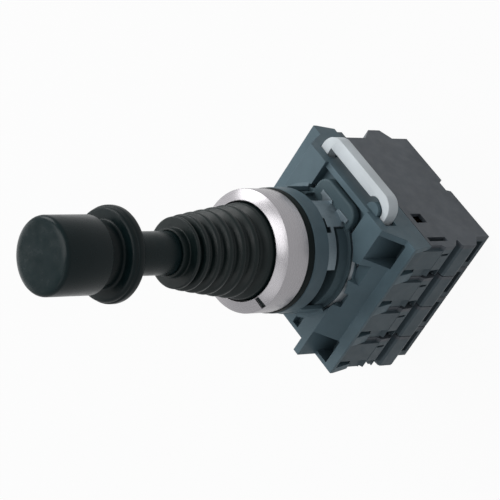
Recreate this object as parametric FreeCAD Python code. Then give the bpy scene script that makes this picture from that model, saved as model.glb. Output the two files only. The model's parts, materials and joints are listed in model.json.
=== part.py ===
import FreeCAD, Part
import math
import os

from FreeCAD import Vector

# Panel joystick switch with a lift ring, a rubber bellows and four contact blocks.
# Sizes are in millimetres. The origin is on the stick's axis, in the plane of the panel's front face.
# +Z runs out of the panel to the knob, and X runs along the row of contact blocks.

# Fits and gaps
FIT = 0.05                    # radial clearance of a pin, rod or ring that seats in another piece
GAP = 0.3                     # clearance between pieces that move past each other
SEAT = 0.1                    # clearance between moulded pieces that are clipped together

# Stick: tilt angle each way on both axes, height of the pivot above the panel, pusher circle
TILT = 12.0
PIVOT_Z = 4.0
PUSHER_CIRCLE_R = 5.2

# Knob, lift ring and stem
KNOB_R = 9.15
KNOB_LENGTH = 17.4
KNOB_EDGE = 0.9
KNOB_FRONT_Z = 72.2
KNOB_WALL = 1.6
KNOB_CAP = 5.5
RING_R = 11.3
RING_GROOVE_DEPTH = 0.7
RING_HEIGHT = 5.3
RING_FLOOR = 1.2
RING_LIFT = 3.0
STEM_R = 5.15
STEM_BOTTOM_Z = 30.0
ROD_R = 2.5
RING_SPRING_WIRE = 0.7

# Bellows
BELLOWS_TOP_Z = 32.4
BELLOWS_RIBS = 7
BELLOWS_SMALL_R = 8.5
BELLOWS_LARGE_R = 11.6
BELLOWS_FIRST_RIB_Z = 11.0
BELLOWS_RIB_DEPTH = 1.2
BELLOWS_WALL = 0.9
BELLOWS_LIP_HEIGHT = 1.6
BEAD_THICKNESS = 0.8

# Bezel, gasket and front body
BEZEL_R = 15.0
BEZEL_HEIGHT = 7.4
BEZEL_OPENING_R = 12.1
BEZEL_WALL = 0.8
BEZEL_EDGE = 0.25
INDEX_ANGLE = -112.0
INDEX_WIDTH = 1.3
INDEX_DEPTH = 0.4
GASKET_MARGIN = 0.2           # gasket's edge outside the bezel's
GASKET_THICKNESS = 2.0
NECK_R = 11.15
NECK_BORE_R = 9.6
NECK_LENGTH = 13.0
KEY_WIDTH = 3.0
KEY_HEIGHT = 0.9
BODY_FLANGE = 1.4
CUP_BORE_R = 11.4

# Gimbal
HUB_R = 5.0
HUB_HALF = 2.6
GIMBAL_R = 9.0
GIMBAL_BORE_R = 6.4
GIMBAL_HALF = 1.8
PIVOT_PIN_R = 1.1
SWASH_R = 7.6
SWASH_THICKNESS = 1.5
SWASH_DROP = 6.1              # swash plate's underside below the pivot
PUSHER_R = 1.1
PUSHER_GAP = 0.5              # rest gap that the tilted swash plate uses up
GUIDE_THICKNESS = 2.0
RETURN_SPRING_WIRE = 0.8
RETURN_SPRING_R = 7.0

# Holder
PLATE_Z = -12.0
PLATE_HALF_Y = 15.7
PLATE_REAR_Z = -14.0
SLOPE_END_Y = 19.4
FLANGE_Z = -18.2
FLANGE_HALF_Y = 22.6
FLANGE_REAR_Z = -25.0
FLANGE_TAPER = 1.1
COLLAR_HEIGHT = 4.6
COLLAR_SEAT = 1.5
WALL_THICKNESS = 1.0
WALL_START = 36.0             # the wall under the collar runs from this angle
WALL_END = 246.0              # to this one, and is open round the rest
WELL_CLEARANCE = 0.8
SIDE_WALL = 1.2
WINDOW_HALF_Y = 9.0
WINDOW_WALL = 1.6
WINDOW_SILL = 1.0
BACK_NOTCH_DEPTH = 4.0
BACK_NOTCH_HALF_Y = 13.8
POCKET_OUT_Y = 19.8
POCKET_INSET = 1.6            # closed pockets, from the holder's +X end
POCKET_LENGTH = 7.5
OPEN_POCKET_INSET = 1.0       # open pockets, from the holder's -X end
OPEN_POCKET_LENGTH = 7.0
LATCH_START = -3.45           # latch window and the tab in it, from the middle of their block
LATCH_END = 4.05
TAB_START = -2.05
TAB_END = 3.85
TAB_Y = 21.0                  # inner face of the tabs
TAB_THICKNESS = 0.9
TAB_TOP_Z = -19.6

# Clamp ring and its clip
CLAMP_TOP_R = 14.5
CLAMP_STEP = 0.9
CLAMP_LIP = 0.6               # thickness of the clamp ring's outer lip
CLAMP_STEP_Z = -12.1
CLAMP_TOP_Z = -9.0
CLAMP_BOTTOM_Z = -13.7
EAR_TOP_Z = -11.7
EAR_INSET = 2.3
EAR_HALF_Y = 7.5
EAR_CORNER = 3.4
CLIP_THICKNESS = 0.4
CLIP_BAND_HEIGHT = 3.0

# White locking ring with its handle outside the holder
LOCK_TOP_Z = -15.0
LOCK_THICKNESS = 3.3
LOCK_INSET = 0.1              # lock ring's edge inside the clamp ring's
LOCK_BORE_R = 12.3
LOCK_SWING = 3.0
RIM_WIDTH = 1.0               # raised rim of the locking ring, over its two angles
RIM_START = -125.0
RIM_END = -36.0
HANDLE_REACH = 5.2            # from the holder's end to the handle's outer face
HANDLE_WIDTH = 3.5
HANDLE_CORNER = 4.2
ARM_LOW_Y = -12.7
ARM_HIGH_Y = 14.8
ARM_WIDTH = 2.8
STOP_R = 2.1
STOP_Y = -8.7

# Contact blocks
BLOCKS = 4
BLOCK_PITCH = 10.4
BLOCK_GAP = 0.2
BLOCK_HALF_Y = 18.4
BLOCK_REAR_Z = -49.6
BLOCK_COVER = 1.0
BLOCK_WALL = 1.1
HUMP_Y = 21.3
INSERT_HALF_X = 3.8
INSERT_HALF_Y = 13.5
PLUNGER_R = 1.6
PLUNGER_TOP_Z = -21.4
TRANSFER_THICKNESS = 1.3
GUIDE_PLATE_THICKNESS = 1.2
BRIDGE_THICKNESS = 0.75
BRIDGE_HALF_X = 1.5
BRIDGE_HALF_Y = 7.8
CONTACT_Y = 6.5
CONTACT_R = 1.1
CONTACT_HEIGHT = 0.5
STRIP_THICKNESS = 0.8
STRIP_HALF_X = 1.8
STRIP_INNER_Y = 5.4
STRIP_BEND_Y = 12.6
STRIP_OUTER_Y = 17.0
CONTACT_SPRING_WIRE = 0.5
SCREW_Y = 15.0
SCREW_HEAD_R = 2.1
SCREW_SHANK_R = 1.5
SCREW_ACCESS_R = 2.3
WIRE_ENTRY_HALF_X = 3.5
WIRE_ENTRY_HEIGHT = 3.4

# Places that follow from the sizes above
gasket_top = GASKET_THICKNESS
gasket_r = BEZEL_R + GASKET_MARGIN
bezel_top = gasket_top + BEZEL_HEIGHT
bead_top = bezel_top - BEZEL_WALL
cup_top = bead_top - BEAD_THICKNESS
swash_bottom = PIVOT_Z - SWASH_DROP
swash_top = swash_bottom + SWASH_THICKNESS
pusher_top = swash_bottom - PUSHER_GAP
neck_bottom = -NECK_LENGTH
guide_top = neck_bottom + 0.8 + GUIDE_THICKNESS
push_travel = PUSHER_CIRCLE_R * math.radians(TILT)
knob_rear = KNOB_FRONT_Z - KNOB_LENGTH
knob_ceiling = KNOB_FRONT_Z - KNOB_CAP
ring_floor_top = knob_rear - RING_LIFT - GAP
ring_rear = ring_floor_top - RING_FLOOR
ring_front = ring_rear + RING_HEIGHT
row_half = BLOCKS * BLOCK_PITCH / 2
holder_half_x = row_half
block_half = (BLOCK_PITCH - BLOCK_GAP) / 2
block_centres = [(i + 0.5) * BLOCK_PITCH - row_half for i in range(BLOCKS)]
insert_front = PLUNGER_TOP_Z - push_travel - GAP - GUIDE_PLATE_THICKNESS
block_front = FLANGE_REAR_Z - GAP
lock_bottom = LOCK_TOP_Z - LOCK_THICKNESS
bay_top = lock_bottom - GAP
clamp_r = CLAMP_TOP_R + CLAMP_STEP
lip_z = CLAMP_STEP_Z - CLAMP_LIP
lock_r = clamp_r - LOCK_INSET
rim_inner_r = lock_r - RIM_WIDTH
well_r = clamp_r + WELL_CLEARANCE
wall_r = CLAMP_TOP_R + SEAT + WALL_THICKNESS
collar_r = wall_r - GAP
ear_reach = holder_half_x - EAR_INSET
handle_x = holder_half_x + HANDLE_REACH
arm_swing = handle_x * math.radians(LOCK_SWING)
stop_x = holder_half_x + 0.1
cavity_floor = BLOCK_REAR_Z + 4.0
chamber_floor = BLOCK_REAR_Z + 1.2
cavity_top = block_front - 2.2
strip_z = cavity_floor + 9.6
terminal_z = cavity_floor + 1.2
bridge_z = strip_z + STRIP_THICKNESS + 2 * CONTACT_HEIGHT + push_travel + GAP


def box(x0, x1, y0, y1, z0, z1):
    return Part.makeBox(x1 - x0, y1 - y0, z1 - z0, Vector(x0, y0, z0))


def cylinder(radius, z0, z1, x=0.0, y=0.0):
    return Part.makeCylinder(radius, z1 - z0, Vector(x, y, z0))


def cylinder_x(radius, x0, x1, y, z):
    return Part.makeCylinder(radius, x1 - x0, Vector(x0, y, z), Vector(1, 0, 0))


def cylinder_y(radius, y0, y1, x, z):
    return Part.makeCylinder(radius, y1 - y0, Vector(x, y0, z), Vector(0, 1, 0))


def tube(outer, inner, z0, z1, x=0.0, y=0.0):
    return cylinder(outer, z0, z1, x, y).cut(cylinder(inner, z0 - 1, z1 + 1, x, y))


def turned(points):
    """Solid of revolution about Z from an outline of (radius, z) points."""
    wire = Part.makePolygon([Vector(r, 0, z) for r, z in points + points[:1]])
    return Part.Face(wire).revolve(Vector(0, 0, 0), Vector(0, 0, 1), 360)


def prism_x(points, x0, x1):
    """Outline of (y, z) points, drawn out along X."""
    wire = Part.makePolygon([Vector(x0, y, z) for y, z in points + points[:1]])
    return Part.Face(wire).extrude(Vector(x1 - x0, 0, 0))


def prism_z(points, z0, z1):
    """Outline of (x, y) points, drawn out along Z."""
    wire = Part.makePolygon([Vector(x, y, z0) for x, y in points + points[:1]])
    return Part.Face(wire).extrude(Vector(0, 0, z1 - z0))


def wedge(start, end, radius, z0, z1):
    """Pie slice about Z between two angles in degrees, less than half a turn apart."""
    middle = (start + end) / 2
    reach = radius / math.cos(math.radians((end - start) / 4))
    corners = [(radius * math.cos(math.radians(start)), radius * math.sin(math.radians(start))),
               (reach * math.cos(math.radians(middle)), reach * math.sin(math.radians(middle))),
               (radius * math.cos(math.radians(end)), radius * math.sin(math.radians(end)))]
    return prism_z([(0.0, 0.0)] + corners, z0, z1)


def coil(radius, wire, z0, z1, turns, x=0.0, y=0.0):
    """Compression spring between two heights, of square wire set on its corner."""
    rise = z1 - z0 - 1.5 * wire
    helix = Part.makeHelix(rise / turns, rise, radius)
    half = wire / 2
    section = Part.makePolygon([Vector(radius - half, 0, 0), Vector(radius, 0, -half),
                                Vector(radius + half, 0, 0), Vector(radius, 0, half),
                                Vector(radius - half, 0, 0)])
    spring = Part.Wire(helix.Edges).makePipeShell([section], True, True)
    spring.translate(Vector(x, y, z0 + 0.75 * wire))
    return spring


def rounded(solid, radius, wanted):
    """Fillet the edges for which wanted(edge) holds."""
    return solid.makeFillet(radius, [e for e in solid.Edges if wanted(e)])


def at_height(z):
    """Test for an edge that lies wholly at one height."""
    def test(edge):
        return abs(edge.BoundBox.ZMin - z) < 1e-4 and abs(edge.BoundBox.ZMax - z) < 1e-4
    return test


def upright(edge):
    """Test for an edge that runs along Z."""
    return edge.BoundBox.XLength < 1e-4 and edge.BoundBox.YLength < 1e-4


def write(node, solids):
    """Write one node from a solid or a list of solids."""
    shape = Part.makeCompound(solids) if isinstance(solids, list) else solids
    shape.exportStep("parts/" + node + ".step")


# Stick: knob, lift ring, stem and rod

def make_knob():
    knob = cylinder(KNOB_R, knob_rear, KNOB_FRONT_Z)
    knob = rounded(knob, KNOB_EDGE, at_height(KNOB_FRONT_Z))
    hollow = cylinder(KNOB_R - KNOB_WALL, knob_rear - 1, knob_ceiling)
    socket = cylinder(ROD_R + FIT, knob_ceiling - 1, KNOB_FRONT_Z - 2.0)
    return knob.cut(hollow).cut(socket)


def make_lift_ring():
    """Cup round the knob's rear end, with a guide sleeve that slides on the stem."""
    groove_z = ring_front - 1.6
    outline = [(STEM_R + FIT, ring_rear), (RING_R - 0.9, ring_rear), (RING_R, ring_rear + 0.9),
               (RING_R, groove_z - 0.7), (RING_R - RING_GROOVE_DEPTH, groove_z - 0.7),
               (RING_R - RING_GROOVE_DEPTH, groove_z), (RING_R - 0.3, groove_z),
               (RING_R - 0.3, ring_front - 0.4), (RING_R - 0.7, ring_front),
               (KNOB_R + GAP, ring_front), (KNOB_R + GAP, ring_floor_top),
               (ring_sleeve_r, ring_floor_top), (ring_sleeve_r, ring_sleeve_top),
               (STEM_R + FIT, ring_sleeve_top)]
    return turned(outline)


ring_sleeve_r = KNOB_R - KNOB_WALL - GAP
ring_sleeve_top = knob_ceiling - RING_LIFT - 7.0


def make_rod():
    return cylinder(ROD_R, swash_bottom, KNOB_FRONT_Z - 2.2)


# Bellows

def bellows_ribs():
    """Radius and height of each rib, from the small end to the bezel."""
    span = BELLOWS_TOP_Z - BELLOWS_FIRST_RIB_Z
    ribs = []
    for i in range(BELLOWS_RIBS):
        share = i / (BELLOWS_RIBS - 1)
        radius = BELLOWS_SMALL_R + share * (BELLOWS_LARGE_R - BELLOWS_SMALL_R)
        ribs.append((radius, BELLOWS_TOP_Z - span * share ** 1.16))
    return ribs


def make_bellows():
    ribs = bellows_ribs()
    half_rib = 0.6
    half_groove = 0.25
    neck_r = STEM_R + FIT
    lip_r = neck_r + 0.7
    lip_z = BELLOWS_TOP_Z + BELLOWS_LIP_HEIGHT
    outline = [(neck_r, lip_z), (lip_r, lip_z), (lip_r, BELLOWS_TOP_Z + half_rib)]
    for upper, lower in zip(ribs, ribs[1:]):
        middle = (upper[1] + lower[1]) / 2
        groove_r = upper[0] - BELLOWS_RIB_DEPTH / 1.5
        outline += [(upper[0] - 0.35, upper[1] + half_rib), upper, (upper[0] - 0.2, upper[1] - half_rib),
                    (groove_r, middle + half_groove), (groove_r, middle - half_groove)]
    last_r, last_z = ribs[-1]
    bead_r = BEZEL_R - BEZEL_WALL - SEAT
    outline += [(last_r - 0.35, last_z + half_rib), (last_r, last_z), (last_r - 0.2, last_z - half_rib),
                (last_r - 0.2, bead_top), (bead_r, bead_top), (bead_r, cup_top)]
    inner_low = ribs[-2][0] - BELLOWS_RIB_DEPTH / 1.5 - BELLOWS_WALL
    inner_high = ribs[0][0] - BELLOWS_RIB_DEPTH / 1.5 - BELLOWS_WALL
    inner_r = last_r - BELLOWS_WALL - 0.2
    ceiling = BELLOWS_TOP_Z - 1.4
    outline += [(inner_r, cup_top), (inner_r, last_z - half_rib), (inner_low, last_z + half_rib),
                (inner_high, ceiling), (neck_r, ceiling)]
    return turned(outline)


# Bezel, gasket and front body

def make_bezel():
    outline = [(BEZEL_R - BEZEL_WALL, gasket_top), (BEZEL_R, gasket_top), (BEZEL_R, bezel_top - BEZEL_EDGE),
               (BEZEL_R - BEZEL_EDGE, bezel_top), (BEZEL_OPENING_R + BEZEL_EDGE, bezel_top),
               (BEZEL_OPENING_R, bezel_top - BEZEL_EDGE), (BEZEL_OPENING_R, bead_top),
               (BEZEL_R - BEZEL_WALL, bead_top)]
    slot = box(BEZEL_OPENING_R - 1, BEZEL_R - BEZEL_EDGE, -INDEX_WIDTH / 2, INDEX_WIDTH / 2,
               bezel_top - INDEX_DEPTH, bezel_top + 1)
    slot.rotate(Vector(0, 0, 0), Vector(0, 0, 1), INDEX_ANGLE)
    return turned(outline).cut(slot)


def make_gasket():
    edge = 0.3
    ring = turned([(NECK_R + SEAT, 0.0), (gasket_r - edge, 0.0), (gasket_r, edge),
                   (gasket_r, gasket_top - edge), (gasket_r - edge, gasket_top), (NECK_R + SEAT, gasket_top)])
    return ring.cut(key_slot(-1, gasket_top + 1))


def make_front_body():
    """Neck that passes the panel hole, with a cup under the bezel that carries the pivots."""
    flange_r = BEZEL_R - BEZEL_WALL - SEAT
    outline = [(NECK_BORE_R, neck_bottom), (NECK_R, neck_bottom), (NECK_R, gasket_top),
               (flange_r, gasket_top), (flange_r, cup_top), (CUP_BORE_R, cup_top),
               (CUP_BORE_R, gasket_top + BODY_FLANGE), (NECK_BORE_R, 0.0)]
    body = turned(outline)
    key = box(-KEY_WIDTH / 2, KEY_WIDTH / 2, NECK_R - 1, NECK_R + KEY_HEIGHT, neck_bottom + 2, gasket_top)
    bore = cylinder_x(PIVOT_PIN_R + FIT, -BEZEL_R, BEZEL_R, 0, PIVOT_Z)
    ledge = cylinder(NECK_BORE_R - 1.0, neck_bottom - 1, neck_bottom + 1)
    floor = cylinder(NECK_BORE_R, neck_bottom, neck_bottom + 0.8).cut(ledge)
    return body.fuse(key).fuse(floor).cut(bore).removeSplitter()


# Gimbal

def make_gimbal_ring():
    ring = tube(GIMBAL_R, GIMBAL_BORE_R, PIVOT_Z - GIMBAL_HALF, PIVOT_Z + GIMBAL_HALF)
    ring = ring.cut(cylinder_x(PIVOT_PIN_R + FIT, -GIMBAL_R - 1, GIMBAL_R + 1, 0, PIVOT_Z))
    return ring.cut(cylinder_y(PIVOT_PIN_R + FIT, -GIMBAL_R - 1, GIMBAL_R + 1, 0, PIVOT_Z))


def make_outer_pins():
    """Two pins along X, held in the gimbal ring, that turn in the front body."""
    far = BEZEL_R - BEZEL_WALL - SEAT - 0.6
    near = GIMBAL_BORE_R + 0.4
    return [cylinder_x(PIVOT_PIN_R, near, far, 0, PIVOT_Z), cylinder_x(PIVOT_PIN_R, -far, -near, 0, PIVOT_Z)]


def make_inner_pins():
    """Two pins along Y, held in the hub, that turn in the gimbal ring."""
    far = GIMBAL_R - 0.1
    near = ROD_R + 0.3
    return [cylinder_y(PIVOT_PIN_R, near, far, 0, PIVOT_Z), cylinder_y(PIVOT_PIN_R, -far, -near, 0, PIVOT_Z)]


def make_hub():
    hub = tube(HUB_R, ROD_R + FIT, PIVOT_Z - HUB_HALF, PIVOT_Z + HUB_HALF)
    return hub.cut(cylinder_y(PIVOT_PIN_R + FIT, -HUB_R - 1, HUB_R + 1, 0, PIVOT_Z))


def make_swash_plate():
    return turned([(ROD_R + FIT, swash_bottom), (SWASH_R, swash_bottom), (SWASH_R, swash_top - 0.4),
                   (SWASH_R - 0.4, swash_top), (HUB_R - 1, swash_top), (HUB_R - 1, PIVOT_Z - HUB_HALF),
                   (ROD_R + FIT, PIVOT_Z - HUB_HALF)])


def pusher_places():
    """Side of the stick, pusher place under the swash plate, and centre line of its contact block."""
    r = PUSHER_CIRCLE_R
    return [("minus_y", (0, -r), block_centres[0]), ("minus_x", (-r, 0), block_centres[1]),
            ("plus_x", (r, 0), block_centres[2]), ("plus_y", (0, r), block_centres[3])]


def make_guide():
    guide = cylinder(NECK_BORE_R - SEAT, neck_bottom + 0.8, guide_top)
    for _, place, _ in pusher_places():
        guide = guide.cut(cylinder(PUSHER_R + FIT, neck_bottom, 0, *place))
    return guide


def make_pusher(place, block_x):
    """Domed rod under the swash plate. It reaches its block directly or through a side arm."""
    x, y = place
    dome_base = pusher_top - PUSHER_R
    dome = Part.makeSphere(PUSHER_R, Vector(x, y, dome_base)).common(
        cylinder(PUSHER_R, dome_base, pusher_top, x, y))
    if abs(x - block_x) < PUSHER_R and y == 0:
        return cylinder(PUSHER_R, PLUNGER_TOP_Z, dome_base, x, y).fuse(dome).removeSplitter()
    arm_bottom = PLUNGER_TOP_Z
    arm_top = arm_bottom + TRANSFER_THICKNESS
    half = PUSHER_R + 0.4
    side = 1 if block_x > 0 else -1
    outline = [(x - side * half, y - half), (block_x + side * half, y - half),
               (block_x + side * half, y + half), (x - side * half, y + half)]
    arm = prism_z(outline, arm_bottom, arm_top)
    toe = box(block_x - half, block_x + half, min(0, y) - half, max(0, y) + half, arm_bottom, arm_top)
    rod = cylinder(PUSHER_R, arm_bottom, dome_base, x, y)
    return rod.fuse([dome, arm, toe]).removeSplitter()


# Holder

def holder_outline():
    """Side outline of the holder, seen along X: a plate with sloped sides on a wider flange."""
    flange_low = FLANGE_HALF_Y - FLANGE_TAPER
    return [(-PLATE_HALF_Y, PLATE_Z), (PLATE_HALF_Y, PLATE_Z), (SLOPE_END_Y, FLANGE_Z),
            (FLANGE_HALF_Y, FLANGE_Z), (FLANGE_HALF_Y, FLANGE_Z - 1), (flange_low, FLANGE_REAR_Z),
            (-flange_low, FLANGE_REAR_Z), (-FLANGE_HALF_Y, FLANGE_Z - 1), (-FLANGE_HALF_Y, FLANGE_Z),
            (-SLOPE_END_Y, FLANGE_Z)]


def key_slot(z0, z1):
    """Room for the neck's key."""
    half = KEY_WIDTH / 2 + SEAT
    return box(-half, half, 0, NECK_R + KEY_HEIGHT + SEAT, z0, z1)


def make_collar():
    """Round collar behind the gasket, with a wall down to the plate round part of it."""
    inner = wall_r - WALL_THICKNESS
    ring = turned([(NECK_R + SEAT, -COLLAR_SEAT), (NECK_R + SEAT, 0.0), (collar_r - 0.2, 0.0),
                   (collar_r, -0.2), (collar_r, -COLLAR_HEIGHT), (inner - 0.6, -COLLAR_HEIGHT),
                   (inner - 0.6, -COLLAR_SEAT)])
    foot_r = clamp_r + SEAT
    root_z = 0.5 - COLLAR_HEIGHT
    wall = turned([(inner, -COLLAR_HEIGHT - 0.1), (inner - 0.3, root_z), (collar_r - 0.1, root_z),
                   (wall_r, -COLLAR_HEIGHT), (wall_r, PLATE_Z + 0.5), (well_r + 0.6, PLATE_Z - 0.2),
                   (well_r + 0.6, PLATE_REAR_Z), (foot_r, PLATE_REAR_Z), (foot_r, CLAMP_STEP_Z + SEAT),
                   (inner, CLAMP_STEP_Z + SEAT)])
    middle = (WALL_START + WALL_END) / 2
    reach = 2 * wall_r
    floor_z = PLATE_REAR_Z - 1
    sector = wedge(WALL_START, middle, reach, floor_z, 0).fuse(wedge(middle, WALL_END, reach, floor_z, 0))
    return ring.fuse(wall.common(sector)).cut(key_slot(-COLLAR_HEIGHT, 1))


def make_holder():
    holder = prism_x(holder_outline(), -holder_half_x, holder_half_x)
    well = cylinder(well_r, PLATE_REAR_Z, 1).fuse(cylinder(lock_r + FIT, bay_top - 1, PLATE_REAR_Z + 1))
    bay_x = holder_half_x - SIDE_WALL
    bay_y = INSERT_HALF_Y + GAP
    bay = box(-bay_x, bay_x, -bay_y, bay_y, FLANGE_REAR_Z - 1, bay_top)
    sill_z = PLATE_Z - WINDOW_SILL
    window = box(well_r * 0.75, holder_half_x + 1, -WINDOW_HALF_Y, WINDOW_HALF_Y, sill_z, 1)
    window_pit = box(well_r * 0.75, holder_half_x - WINDOW_WALL, -WINDOW_HALF_Y, WINDOW_HALF_Y,
                     LOCK_TOP_Z + GAP, sill_z)
    back_notch = box(-holder_half_x - 1, BACK_NOTCH_DEPTH - holder_half_x, -BACK_NOTCH_HALF_Y,
                     BACK_NOTCH_HALF_Y, FLANGE_Z, 1)
    holder = holder.cut(well).cut(bay).cut(window).cut(window_pit).cut(back_notch)
    for cutter in corner_pockets() + side_details() + latch_windows():
        holder = holder.cut(cutter)
    stop = cylinder(STOP_R, lock_bottom, LOCK_TOP_Z + 1, stop_x, STOP_Y)
    return holder.fuse([make_collar(), stop]).removeSplitter()


def corner_pockets():
    """Deep pockets in the sloped sides, one near each corner. Those at -X are open at the end."""
    pockets = []
    far_x = holder_half_x - POCKET_INSET
    open_x = OPEN_POCKET_INSET + OPEN_POCKET_LENGTH - holder_half_x
    for side in (-1, 1):
        ys = sorted((side * PLATE_HALF_Y, side * POCKET_OUT_Y))
        outer = sorted((side * PLATE_HALF_Y, side * (FLANGE_HALF_Y + 1)))
        floor_z = FLANGE_REAR_Z + 1.2
        pockets.append(box(far_x - POCKET_LENGTH, far_x, ys[0], ys[1], floor_z, 0))
        pockets.append(box(open_x - OPEN_POCKET_LENGTH, open_x, ys[0], ys[1], floor_z, 0))
        pockets.append(box(-holder_half_x - 1, open_x, outer[0], outer[1], FLANGE_Z, 0))
    return pockets


def side_details():
    """Slots for the lock ring's arms, two notches at the slope's top and a recess in the plate."""
    cutters = []
    for y0, y1 in lock_arms():
        cutters.append(box(5, holder_half_x + 1, y0 - arm_swing, y1 + GAP, bay_top, LOCK_TOP_Z + GAP))
    cutters.append(box(-3.5, 0.7, -PLATE_HALF_Y - 1.2, 1.2 - PLATE_HALF_Y, PLATE_Z - 3.6, 0))
    outer_y = 0.1 - SLOPE_END_Y
    break_out = [(8.5, -12.9), (11.2, outer_y), (3.6, outer_y), (4.6, 0.4 - PLATE_HALF_Y)]
    cutters.append(prism_z(break_out, LOCK_TOP_Z + GAP, 0))
    recess_x = 5.0 - holder_half_x
    recess = box(recess_x, recess_x + 3.2, -11.2, -9.0, PLATE_REAR_Z, 0)
    cutters.append(recess.cut(cylinder(wall_r + 0.6, -20, 1)))
    return cutters


def latch_windows():
    """Windows in the flange for the tabs of the blocks, one per block on both long sides."""
    inner_y = TAB_Y - GAP
    windows = []
    for centre in block_centres:
        for side in (-1, 1):
            ys = sorted((side * inner_y, side * (FLANGE_HALF_Y + 1)))
            windows.append(box(centre + LATCH_START, centre + LATCH_END, ys[0], ys[1],
                               FLANGE_REAR_Z - 1, TAB_TOP_Z + 0.5))
    return windows


# Clamp ring, clip and guide plate

def make_clamp_ring():
    body_r = rim_inner_r - GAP
    ring = turned([(NECK_R + FIT, CLAMP_BOTTOM_Z), (body_r, CLAMP_BOTTOM_Z), (body_r, lip_z),
                   (clamp_r, lip_z), (clamp_r, CLAMP_STEP_Z), (CLAMP_TOP_R, CLAMP_STEP_Z),
                   (CLAMP_TOP_R, CLAMP_TOP_Z), (NECK_R + FIT, CLAMP_TOP_Z)])
    ear = box(NECK_R + 1, ear_reach, -EAR_HALF_Y, EAR_HALF_Y, CLAMP_BOTTOM_Z, EAR_TOP_Z)
    ear = rounded(ear, EAR_CORNER, lambda e: upright(e) and e.BoundBox.XMin > ear_reach - 0.1)
    ear = rounded(ear, 0.5, at_height(EAR_TOP_Z))
    seat = box(NECK_R + 0.8, clamp_r + 1, -EAR_HALF_Y + 1, EAR_HALF_Y - 1, EAR_TOP_Z, 0)
    return ring.fuse(ear).cut(seat).cut(key_slot(CLAMP_BOTTOM_Z - 1, 0)).removeSplitter()


def make_clip():
    """Bent steel clip: a band under the collar, a tongue, and a notched foot on the ear."""
    band_r = CLAMP_TOP_R + CLIP_THICKNESS
    band_top = -COLLAR_HEIGHT - SEAT
    band_bottom = band_top - CLIP_BAND_HEIGHT
    floor_z = EAR_TOP_Z - 1
    reach = 2 * wall_r
    band = tube(band_r, CLAMP_TOP_R, band_bottom, band_top).common(wedge(-66, 6, reach, floor_z, 0))
    band = band.cut(wedge(-31, -16, reach, band_top - 2.0, 0))
    tongue = tube(band_r, CLAMP_TOP_R, EAR_TOP_Z, band_top - 1).common(wedge(-25, 6, reach, floor_z, 0))
    foot_x = CLAMP_TOP_R - 1.3
    foot = box(foot_x, clamp_r + 0.2, -6.3, 4.7, EAR_TOP_Z, EAR_TOP_Z + CLIP_THICKNESS)
    foot = foot.cut(cylinder(1.5, floor_z, 0, clamp_r + 0.5, -0.9))
    for y in (-6.0, 4.5):
        foot = foot.cut(cylinder(1.3, floor_z, 0, foot_x - 0.1, y))
    return band.fuse([tongue, foot]).removeSplitter()


def make_transfer_guide():
    """White plate over the blocks, with a hole for each plunger."""
    reach_x = holder_half_x - SIDE_WALL - SEAT
    plate = box(-reach_x, reach_x, -INSERT_HALF_Y, INSERT_HALF_Y, insert_front,
                insert_front + GUIDE_PLATE_THICKNESS)
    for centre in block_centres:
        plate = plate.cut(cylinder(PLUNGER_R + GAP, -30, 0, centre, 0))
    return plate


# Locking ring

def lock_arms():
    """Y range of the two arms that carry the handle."""
    return [(ARM_LOW_Y, ARM_LOW_Y + ARM_WIDTH), (ARM_HIGH_Y - ARM_WIDTH, ARM_HIGH_Y)]


def make_lock_ring():
    """Ring in the holder's well. Two arms pass the side wall and join in a handle outside."""
    inner_x = handle_x - HANDLE_WIDTH
    handle = box(inner_x - 2, handle_x, ARM_LOW_Y, ARM_HIGH_Y, lock_bottom, LOCK_TOP_Z)
    handle = rounded(handle, HANDLE_CORNER, lambda e: upright(e) and e.BoundBox.XMin > handle_x - 0.1)
    (_, low), (high, _) = lock_arms()
    handle = handle.cut(box(0, inner_x, low, high, lock_bottom - 1, LOCK_TOP_Z + 1))
    arms = [box(6.2, inner_x - 1, y0, y1, lock_bottom, LOCK_TOP_Z) for y0, y1 in lock_arms()]
    rim = tube(lock_r, rim_inner_r, LOCK_TOP_Z - 1, lip_z - GAP)
    rim = rim.common(wedge(RIM_START, RIM_END, 2 * lock_r, lock_bottom, 0))
    ring = cylinder(lock_r, lock_bottom, LOCK_TOP_Z).fuse([handle, rim] + arms)
    ring = ring.cut(cylinder(LOCK_BORE_R, lock_bottom - 1, LOCK_TOP_Z + 1))
    for share in (0.0, 0.5, 1.0):
        relief = cylinder(STOP_R + GAP, lock_bottom - 1, LOCK_TOP_Z + 1, stop_x, STOP_Y)
        relief.rotate(Vector(0, 0, 0), Vector(0, 0, 1), share * LOCK_SWING)
        ring = ring.cut(relief)
    return ring.removeSplitter()


# Contact blocks

def block_outline():
    """Side outline of a contact block, seen along X, behind the holder's flange."""
    rear = BLOCK_REAR_Z
    edge = BLOCK_HALF_Y
    high_side = [(edge, block_front), (edge, rear + 15.6), (HUMP_Y + 0.2, rear + 12.1),
                 (HUMP_Y + 0.2, rear + 7.9), (edge, rear + 5.6), (edge, rear)]
    rear_notch = [(2.6, rear), (1.6, rear + 1.5), (-1.2, rear + 1.5), (-1.6, rear)]
    low_side = [(-edge, rear), (-edge, rear + 5.0), (-HUMP_Y + 0.1, rear + 7.4), (-HUMP_Y - 0.2, rear + 8.2),
                (-HUMP_Y - 0.2, rear + 12.2), (-HUMP_Y + 0.2, rear + 12.8), (-edge - 1.0, rear + 13.1),
                (-edge - 1.0, rear + 13.5), (-HUMP_Y + 0.1, rear + 15.2), (-HUMP_Y - 0.3, rear + 16.0),
                (-HUMP_Y - 0.6, rear + 19.4), (-HUMP_Y, rear + 20.1), (-HUMP_Y + 0.3, rear + 20.4),
                (-HUMP_Y + 0.3, block_front)]
    return high_side + rear_notch + low_side


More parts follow.
